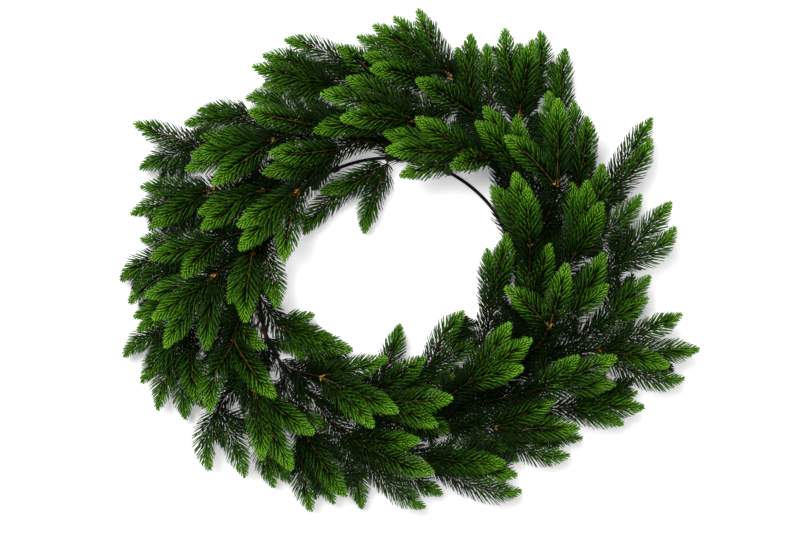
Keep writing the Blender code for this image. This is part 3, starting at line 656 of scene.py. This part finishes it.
def piece_of(name, parts, material):
    """A smooth-shaded piece of several bodies, with its points' places as the attribute place."""
    points, faces, where = gathered(parts)
    mesh = bpy.data.meshes.new(name)
    mesh.vertices.add(len(points))
    mesh.vertices.foreach_set("co", points.astype(np.float32).ravel())
    mesh.loops.add(faces.size)
    mesh.loops.foreach_set("vertex_index", faces.astype(np.int32).ravel())
    mesh.polygons.add(len(faces))
    mesh.polygons.foreach_set("loop_start", np.arange(0, faces.size, 3, dtype=np.int32))
    mesh.update(calc_edges=True)
    mesh.shade_smooth()
    values = mesh.attributes.new("place", "FLOAT_VECTOR", "POINT")
    values.data.foreach_set("vector", where.astype(np.float32).ravel())
    mesh.materials.append(material)
    return shown(name, mesh)


def twig_body(line, first_radius, last_radius, ages, draws):
    """One knobbly twig: (points, triangles, places).

    Its radius falls evenly along it, with a random tenth more or less at each station. A point's
    place is the twig's age there, 0 for a twig, and a random number.
    """
    run = run_along(line)
    radii = first_radius + (last_radius - first_radius) * run / run[-1]
    radii = radii * draws.uniform(*TWIG_CHANCE, len(line))
    _, side, _ = frames_of(line)
    points, faces = tube(line, radii, side, TWIG_SIDES)
    where = np.stack((ages, np.zeros(len(line)), np.full(len(line), draws.uniform())), axis=1)
    return points, faces, np.vstack((np.repeat(where, TWIG_SIDES, axis=0), where[:1], where[-1:]))


def knot_scales(centre, heading, brightness, draws):
    """The frayed knot at a fork, short scales that lean out of it: a list of (points, triangles, places).

    Scale k leans out of the twig's heading at the angle 360 k / KNOT_SCALES round it, and at the share t
    of its length its radius is sin(pi (0.10 + 0.82 t)) times its widest, all more or less by chance. A
    dim knot is smaller: 0.5 + 0.5 times its brightness. A point's place has the knot's brightness, 1 for
    a knot, and a random number of the scale's own.
    """
    heading = unit(heading)
    side = unit(np.cross(heading, (0.0, 0.0, 1.0)))
    up = np.cross(side, heading)
    share = np.linspace(0, 1, KNOT_STATIONS)[:, None]
    scales, size = [], 0.5 + 0.5 * brightness
    for k in range(KNOT_SCALES):
        around = 2 * math.pi * (k + draws.uniform(*SCALE_TURN)) / KNOT_SCALES
        lean = math.radians(KNOT_LEAN * draws.uniform(*SCALE_LEAN))
        outward = math.cos(around) * side + math.sin(around) * up
        way = math.cos(lean) * heading + math.sin(lean) * outward
        root = centre + draws.uniform(*SCALE_ROOT) * KNOT_LENGTH * heading
        line = root + share * size * KNOT_LENGTH * draws.uniform(*SCALE_LENGTH) * way
        widest = size * KNOT_RADIUS * draws.uniform(*SCALE_RADIUS)
        radii = widest * np.sin(math.pi * (0.10 + 0.82 * share[:, 0]))
        across = unit(np.cross(way, heading + 0.1 * outward))
        points, faces = tube(line, radii, np.tile(across, (KNOT_STATIONS, 1)), TWIG_SIDES)
        scales.append((points, faces, np.tile((brightness, 1.0, draws.uniform()), (len(points), 1))))
    return scales


def winding_body(degrees):
    """A wound tail: a wire on a helix round the ring's centre line: (points, triangles, places).

    At angle a of the helix, its point is the ring's point there plus the helix's radius times
    (cos a outwards + sin a upwards).
    """
    turn = np.linspace(0, 2 * math.pi * WINDING_TURNS, WINDING_TURNS * TURN_STEPS + 1)
    reach = (COLLAR_LENGTH / 2 - WINDING_WIRE) / (RING_DIAMETER / 2)
    angle = math.radians(degrees) + np.linspace(-reach, reach, len(turn))
    outward = np.stack((np.cos(angle), np.sin(angle), np.zeros(len(turn))), axis=1)
    away = np.cos(turn)[:, None] * outward + np.sin(turn)[:, None] * np.array([0.0, 0.0, 1.0])
    line = RING_CENTRE + RING_DIAMETER / 2 * outward + WINDING_RADIUS * away
    points, faces = tube(line, np.full(len(line), WINDING_WIRE), away, TWIG_SIDES)
    return points, faces, np.tile((WOUND_AGE, 0.0, 0.5), (len(points), 1))


def ring_body():
    """The ring's round wire: (points, triangles, places).

    At angle a of the ring and b of the wire, its point is the ring's centre plus R + r cos b outwards
    and r sin b upwards.
    """
    a = np.linspace(0, 2 * math.pi, WIRE_STEPS, endpoint=False)[:, None]
    b = np.linspace(0, 2 * math.pi, WIRE_SIDES, endpoint=False)[None]
    reach = (RING_DIAMETER / 2 + WIRE_RADIUS * np.cos(b)) * np.ones_like(a)
    height = np.broadcast_to(WIRE_RADIUS * np.sin(b), reach.shape)
    points = RING_CENTRE + np.stack((reach * np.cos(a), reach * np.sin(a), height), axis=-1)
    here = np.arange(WIRE_STEPS)[:, None] * WIRE_SIDES
    ahead = (here + WIRE_SIDES) % (WIRE_STEPS * WIRE_SIDES)
    turn, onward = np.arange(WIRE_SIDES), (np.arange(WIRE_SIDES) + 1) % WIRE_SIDES
    faces = np.vstack([np.stack((here + turn, ahead + turn, here + onward), axis=-1).reshape(-1, 3),
                       np.stack((here + onward, ahead + turn, ahead + onward), axis=-1).reshape(-1, 3)])
    points = points.reshape(-1, 3)
    return points, faces, np.zeros((len(points), 3))


def softened(line):
    """A line with each inner point moved halfway to the middle of its neighbours, a few times over."""
    line = line.copy()
    for _ in range(SOFTENINGS):
        line[1:-1] = (line[:-2] + 2 * line[1:-1] + line[2:]) / 4
    return line


def whorls_of_finger(reach):
    """How far along a finger of a length its whorls stand: closer and closer to each other near the tip.

    The number of whorls up to a place is the integral of 1 / spacing, which is evened out and read
    backwards. The last whorl is the tuft at the tip.
    """
    run = np.linspace(FIRST_NEEDLE, reach - TIP_BARE, WHORL_SAMPLES)
    near_tip = 1 - smooth_step(reach - run, *LEAN_RANGE)
    spacing = WHORL_SPACING + (TIP_WHORL_SPACING - WHORL_SPACING) * near_tip
    total = np.cumsum((run[1] - run[0]) / spacing)
    return np.interp(np.linspace(0, total[-1], round(total[-1]) + 1), total, run)


def nearest(points, others):
    """How far each point is from the nearest of the others."""
    return np.min(np.linalg.norm(points[:, None] - others[None], axis=2), axis=1)


def room_for_tip(tip, taken, gaps):
    """Whether a shoot may end here: no twig near, but twigs all round, and no gap of the picture near."""
    ways = np.linspace(0, 2 * math.pi, SURROUND_WAYS, endpoint=False)
    around = tip[:2] + SHOOT_SURROUND * np.stack((np.cos(ways), np.sin(ways)), axis=1)
    plan = taken[:, :2]
    return (nearest(tip[None, :2], plan)[0] > SHOOT_ROOM and nearest(tip[None, :2], gaps)[0] > GAP_ROOM
            and np.max(nearest(around, plan)) < SHOOT_NEAR)


def side_shoots(layout):
    """Low shoots that fill the thicket under the sprays: a list of lines for each spray.

    Candidates leave the lower twigs at even steps, to the left and to the right, and curve down to
    end lower. One grows where there is room for its tip and it keeps clear of other twigs.
    """
    taken = layout.points
    gaps = np.array([place(x, y, LOWEST_TWIG)[:2] for x, y in PICTURE_GAPS])
    angle = math.radians(SHOOT_TURN)
    shoots = [[] for _ in layout.stems]
    for number, (stem, rows) in enumerate(zip(layout.stems, layout.fingers)):
        for line in [stem] + [ids for _, ids in rows]:
            points = layout.points[line]
            heading, side, _ = frames_of(points)
            low = [k for k in range(SHOOT_FIRST, len(line) - 2 * SHOOT_FIRST, SHOOT_STEP)
                   if points[k, 2] < SHOOT_BELOW]
            for k, turn, length in itertools.product(low, (-1, 1), SHOOT_LENGTHS):
                way = math.cos(angle) * heading[k] + turn * math.sin(angle) * side[k]
                way = unit(way * (1, 1, 0))
                tip = points[k] + length * way
                tip[2] = max(SHOOT_HEIGHT, tip[2] - SHOOT_FALL * (tip[2] - SHOOT_HEIGHT))
                if not room_for_tip(tip, taken, gaps):
                    continue
                shoot = curve_through([points[k], tip], way - (0, 0, SHOOT_DIP),
                                      way + SHOOT_SWEEP * heading[k])
                if np.min(nearest(shoot[3:], taken)) > SHOOT_APART:
                    taken = np.vstack((taken, shoot[2:]))
                    shoots[number].append(shoot)
    return shoots


def fine_spray(number, layout, shoots, draws):
    """The bodies of one spray: its needles, and its winding, stem, fingers and low side shoots."""
    stem = evenly(softened(layout.points[layout.stems[number]]), TWIG_STEP)
    stem_run = run_along(stem)
    whorls = np.arange(BARE_TAIL, stem_run[-1] - BARE_FORK, STEM_WHORL_SPACING)
    bright = SPRAYS[number].tie in BRIGHT_KNOTS
    hidden = 0 if bright else HUB_REACH
    needles = [needles_of_twig(stem, whorls, np.zeros(len(whorls)), np.full(len(whorls), stem_run[-1]),
                               stem_run[-1] - whorls + hidden, STEM_LINE_SHARE, WHORL_NEEDLES, draws)]
    brightness = draws.uniform(*BRIGHT_KNOT) if bright else draws.uniform(*DIM_KNOT)
    twigs = [winding_body(SPRAYS[number].tie), *knot_scales(stem[-2], stem[-1] - stem[-3], brightness, draws)]
    for order, (_, ids) in enumerate(layout.fingers[number]):
        finger = evenly(softened(layout.points[ids]), TWIG_STEP)
        run = run_along(finger)
        reach = run[-1]
        whorls = whorls_of_finger(reach)
        # Painted shade: fingers that end in lower layers get darker tips than the top ones.
        layer_shade = np.interp(finger[-1, 2], (LAYERS["L"], LAYERS["T"]), (LOWEST_LAYER_SHADE, 1.0))
        young = layer_shade * np.clip(1 - (reach - whorls) / YOUNG_LENGTH, 0, 1)
        needles.append(needles_of_twig(finger, whorls, young, reach - whorls, whorls + hidden, LINE_SHARE,
                                       WHORL_NEEDLES, draws))
        woody = finger[run < reach - TIP_BARE + INTO_TUFT]
        ages = run[:len(woody)] / reach
        if order:
            twigs.append(twig_body(woody, TWIG_RADIUS, TWIG_END_RADIUS, ages, draws))
        else:
            line = np.vstack((stem[:-1], woody))
            share = stem_run[:-1] / stem_run[-1]
            ages = np.concatenate((STEM_AGE + (STEM_END_AGE - STEM_AGE) * share, ages))
            twigs.append(twig_body(line, STEM_START_RADIUS, TWIG_END_RADIUS, ages, draws))
    for shoot in shoots:
        line = evenly(shoot, TWIG_STEP)
        run = run_along(line)
        reach = run[-1]
        whorls = whorls_of_finger(reach)
        # The shoots' needles stay darker than the fingers': older growth, and painted shade under the sprays.
        dark = SHOOT_AGE_AND_SHADE * whorls / reach
        needles.append(needles_of_twig(line, whorls, dark, reach - whorls, np.full(len(whorls), reach), 0,
                                       SHOOT_WHORL_NEEDLES, draws))
        woody = line[run < reach - TIP_BARE + INTO_TUFT]
        ages = np.full(len(woody), SHOOT_TWIG_AGE)
        twigs.append(twig_body(woody, TWIG_END_RADIUS, TWIG_END_RADIUS, ages, draws))
    return needles, twigs


class Value:
    """A socket of a material, whose arithmetic adds Math nodes."""

    def __init__(self, finish, socket):
        self.finish, self.socket = finish, socket

    def math(self, operation, first, second):
        """What a Math node makes of two values or numbers."""
        return self.finish.node("ShaderNodeMath", {0: first, 1: second}, operation=operation)

    def __add__(self, other):
        return self.math("ADD", self, other)

    def __sub__(self, other):
        return self.math("SUBTRACT", self, other)

    def __rsub__(self, other):
        return self.math("SUBTRACT", other, self)

    def __mul__(self, other):
        return self.math("MULTIPLY", self, other)

    __radd__ = __add__
    __rmul__ = __mul__


class Finish:
    """A Principled material and the one method that makes its nodes."""

    def __init__(self, name, **constants):
        self.material = bpy.data.materials.new(name)
        self.material.use_nodes = True
        self.nodes, self.links = self.material.node_tree.nodes, self.material.node_tree.links
        self.shader = self.nodes["Principled BSDF"]
        for socket, value in constants.items():
            self.put(self.shader.inputs[socket.replace("_", " ")], value)

    def put(self, socket, value):
        """Link a value to a socket, or set a number or colour on it."""
        if isinstance(value, Value):
            self.links.new(value.socket, socket)
        else:
            socket.default_value = value

    def node(self, kind, values=(), output=0, stops=(), **settings):
        """A new node's output: its settings are made first, and then its sockets' values and links."""
        node = self.nodes.new(kind)
        for setting, value in settings.items():
            setattr(node, setting, value)
        if stops:
            ramp = node.color_ramp
            while len(ramp.elements) < len(stops):
                ramp.elements.new(1.0)
            for element, (position, colour) in zip(ramp.elements, stops):
                element.position, element.color = position, (*colour, 1.0)
        for socket, value in dict(values).items():
            self.put(node.inputs[socket], value)
        return Value(self, node.outputs[output])

    def noise(self, scale, detail=3.0):
        """A noise from 0 to 1 on the piece's own coordinates, in cells to the metre."""
        where = self.node("ShaderNodeTexCoord", output="Object")
        return self.node("ShaderNodeTexNoise", {"Vector": where, "Scale": scale, "Detail": detail,
                                                "Roughness": 0.55})

    def ramp(self, value, *stops):
        """A colour read from a ramp."""
        return self.node("ShaderNodeValToRGB", {0: value}, stops=stops)

    def mix(self, share, first, second):
        """Two colours mixed: the first at share 0, the second at share 1."""
        return self.node("ShaderNodeMix", {0: share, 6: first, 7: second}, output=2, data_type="RGBA",
                         clamp_factor=True)

    def bump(self, height, distance):
        """Relief of a height from 0 to 1 times a distance."""
        return self.node("ShaderNodeBump", {"Height": height, "Distance": distance, "Strength": 1.0})

    def place(self):
        """The three numbers of the attribute place."""
        place = self.node("ShaderNodeAttribute", output="Vector", attribute_name="place")
        parts = self.node("ShaderNodeSeparateXYZ", {0: place}).socket.node
        return [Value(self, socket) for socket in parts.outputs]

    def show(self, colour, roughness, normal):
        """Send what changes over the surface to the shader, and return the material."""
        self.put(self.shader.inputs["Base Color"], colour)
        self.put(self.shader.inputs["Roughness"], roughness)
        self.put(self.shader.inputs["Normal"], normal)
        return self.material


def needle_green():
    """Moulded needles: nearly black green at the base of a finger, yellow-green at its tip."""
    finish = Finish("needle_green", Specular_IOR_Level=0.13)
    age, along, chance = finish.place()
    patches = finish.noise(60.0)
    # Darker at each needle's root than at its tip: partly the needles' own lighter tips, partly painted shade
    # where needles overlap. The age also carries painted shade under twigs, on low fingers and on low shoots.
    tone = age * (0.34 + 0.72 * along) + 0.10 * along + 0.20 * (chance - 0.5) + 0.18 * (patches - 0.5)
    colour = finish.ramp(tone, (0.0, (0.0028, 0.0120, 0.0005)), (0.30, (0.0085, 0.0300, 0.0012)),
                         (0.56, (0.0350, 0.1220, 0.0025)), (0.80, (0.1080, 0.3050, 0.0080)),
                         (1.0, (0.2350, 0.5400, 0.0350)))
    grain = finish.noise(900.0)
    return finish.show(colour, 0.44 + 0.22 * grain, finish.bump(grain, 0.00012))


def twig_brown():
    """Moulded bark: orange at some knots, brown along the fingers, green at their ends, and dark wire."""
    finish = Finish("twig_brown", Specular_IOR_Level=0.25)
    age, nearness, chance = finish.place()
    grain = finish.noise(700.0, 4.0)
    along = (age + 1) * 0.5 + 0.06 * (chance - 0.5)
    colour = finish.ramp(along, (0.0, (0.010, 0.009, 0.008)), (0.12, (0.012, 0.011, 0.009)),
                         (0.20, (0.014, 0.010, 0.004)), (0.46, (0.017, 0.012, 0.004)),
                         (0.54, (0.150, 0.072, 0.009)), (0.86, (0.100, 0.080, 0.008)),
                         (1.0, (0.060, 0.150, 0.006)))
    colour = finish.mix(finish.ramp(grain, (0.35, (1, 1, 1)), (0.6, (0, 0, 0))), colour,
                        (0.060, 0.028, 0.008, 1.0))
    knot = finish.ramp(0.6 * chance + 0.4 * grain, (0.25, (0.090, 0.040, 0.008)),
                       (0.45, (0.440, 0.190, 0.014)), (0.70, (0.800, 0.480, 0.060)))
    colour = finish.mix(nearness, colour, finish.mix(age, (0.045, 0.024, 0.007, 1.0), knot))
    return finish.show(colour, 0.45 + 0.25 * grain, finish.bump(grain, 0.0004))


def ring_coating():
    """The ring's black coating: a slightly uneven dip with a dull gloss."""
    finish = Finish("ring_coating", Specular_IOR_Level=0.08)
    grain = finish.noise(260.0, 4.0)
    colour = finish.ramp(grain, (0.3, (0.0020, 0.0020, 0.0022)), (0.75, (0.0045, 0.0045, 0.0048)))
    return finish.show(colour, 0.45 + 0.25 * grain, finish.bump(grain, 0.00010))


def pale_floor():
    """The plain pale floor."""
    finish = Finish("pale_floor", Emission_Color=(1.0, 1.0, 1.0, 1.0), Emission_Strength=FLOOR_GLOW)
    speckle = finish.noise(3.0)
    colour = finish.ramp(speckle, (0.2, (0.86, 0.86, 0.86)), (0.8, (0.90, 0.90, 0.90)))
    return finish.show(colour, 0.85 + 0.1 * speckle, finish.bump(speckle, 0.0001))


def make_sprays():
    """Each spray's needles and its twigs, two pieces that stand for its plain node together."""
    layout = Layout(SPRAYS)
    shoots = side_shoots(layout)
    draws = np.random.default_rng(NEEDLE_SEED)
    green, brown = needle_green(), twig_brown()
    for number in range(len(SPRAYS)):
        node = f"spray_{number + 1:02d}"
        needles, twigs = fine_spray(number, layout, shoots[number], draws)
        for piece in (piece_of(f"{node}_needles", needles, green), piece_of(f"{node}_twigs", twigs, brown)):
            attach(piece, "root")
            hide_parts(node)


def make_ring():
    """The ring's wire, round where its plain node has few sides."""
    piece = piece_of("ring_wire", [ring_body()], ring_coating())
    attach(piece, "root")
    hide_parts("ring")


def make_stage():
    """A plain floor, two soft lights, and the camera straight above the middle of the picture."""
    side = FLOOR_SIZE / 2
    mesh = bpy.data.meshes.new("floor")
    corners = [(-side, -side, 0), (side, -side, 0), (side, side, 0), (-side, side, 0)]
    mesh.from_pydata(corners, [], [(0, 1, 2, 3)])
    mesh.materials.append(pale_floor())
    floor = shown("floor", mesh)
    floor.location.z = -FLOOR_GAP
    for name, (x, y, z), size, power in LIGHTS:
        light = bpy.data.lights.new(name, "AREA")
        light.size, light.energy = size, power
        lamp = shown(name, light)
        lamp.location = (x, y, z)
        lamp.rotation_euler = (-lamp.location).to_track_quat("-Z", "Y").to_euler()
    world = bpy.data.worlds.new("studio")
    world.use_nodes = True
    background = world.node_tree.nodes["Background"]
    background.inputs["Color"].default_value = (1.0, 1.0, 1.0, 1.0)
    path = world.node_tree.nodes.new("ShaderNodeLightPath")
    strength = world.node_tree.nodes.new("ShaderNodeMapRange")
    strength.inputs["To Min"].default_value = WORLD_LIGHT
    strength.inputs["To Max"].default_value = BACKDROP
    world.node_tree.links.new(path.outputs["Is Camera Ray"], strength.inputs["Value"])
    world.node_tree.links.new(strength.outputs["Result"], background.inputs["Strength"])
    bpy.context.scene.world = world
    camera = bpy.data.cameras.new("camera")
    camera.sensor_width = SENSOR_WIDTH
    camera.lens = SENSOR_WIDTH * VIEW_HEIGHT / (PICTURE_WIDTH * PIXEL)
    eye = shown("camera", camera)
    eye.location = place(*PICTURE_MIDDLE, RING_HEIGHT + VIEW_HEIGHT)
    bpy.context.scene.camera = eye
    bpy.context.scene.view_settings.view_transform = "Standard"


make_stage()
make_ring()
make_sprays()
